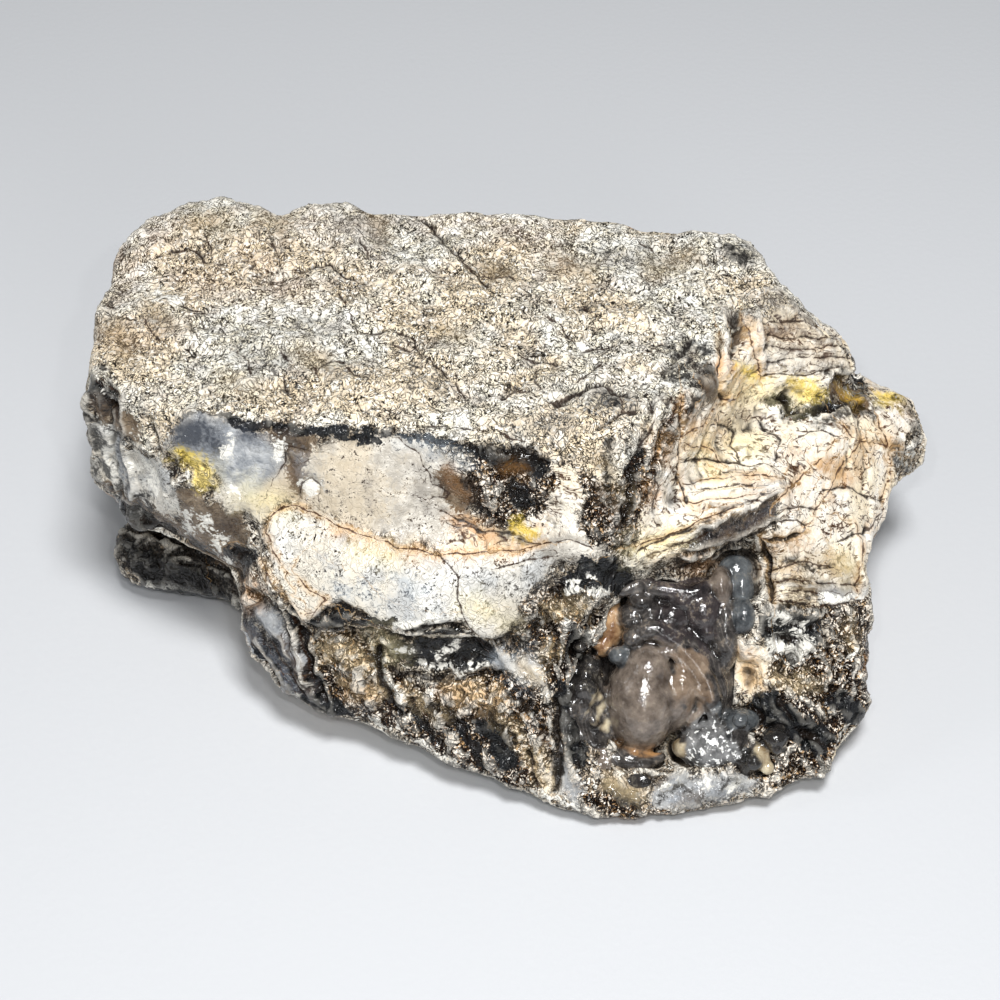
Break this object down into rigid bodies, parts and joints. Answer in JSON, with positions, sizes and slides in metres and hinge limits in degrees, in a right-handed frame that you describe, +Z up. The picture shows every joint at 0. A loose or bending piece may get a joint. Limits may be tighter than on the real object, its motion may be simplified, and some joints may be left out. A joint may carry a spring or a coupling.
{
  "type": "rough chalcedony specimen",
  "caption": "Rough chalcedony stone with a pitted cortex plateau, broken waxy faces, stepped ledges and a front pocket lined with glossy botryoidal lumps.",
  "frame": {"origin": "centre of the bounding box, at the table the stone rests on", "axes": "+X along the stone's length towards the stepped end, +Y to its back, +Z up from the table to the cortex plateau"},
  "size_m": [0.118, 0.086, 0.0458],
  "materials": {
    "chalcedony": "rough pale cortex, waxy milky and grey translucent chalcedony on the broken faces, rust stains"
  },
  "bodies": {
    "root": {"chalcedony": "chalcedony"}
  },
  "joints": []
}
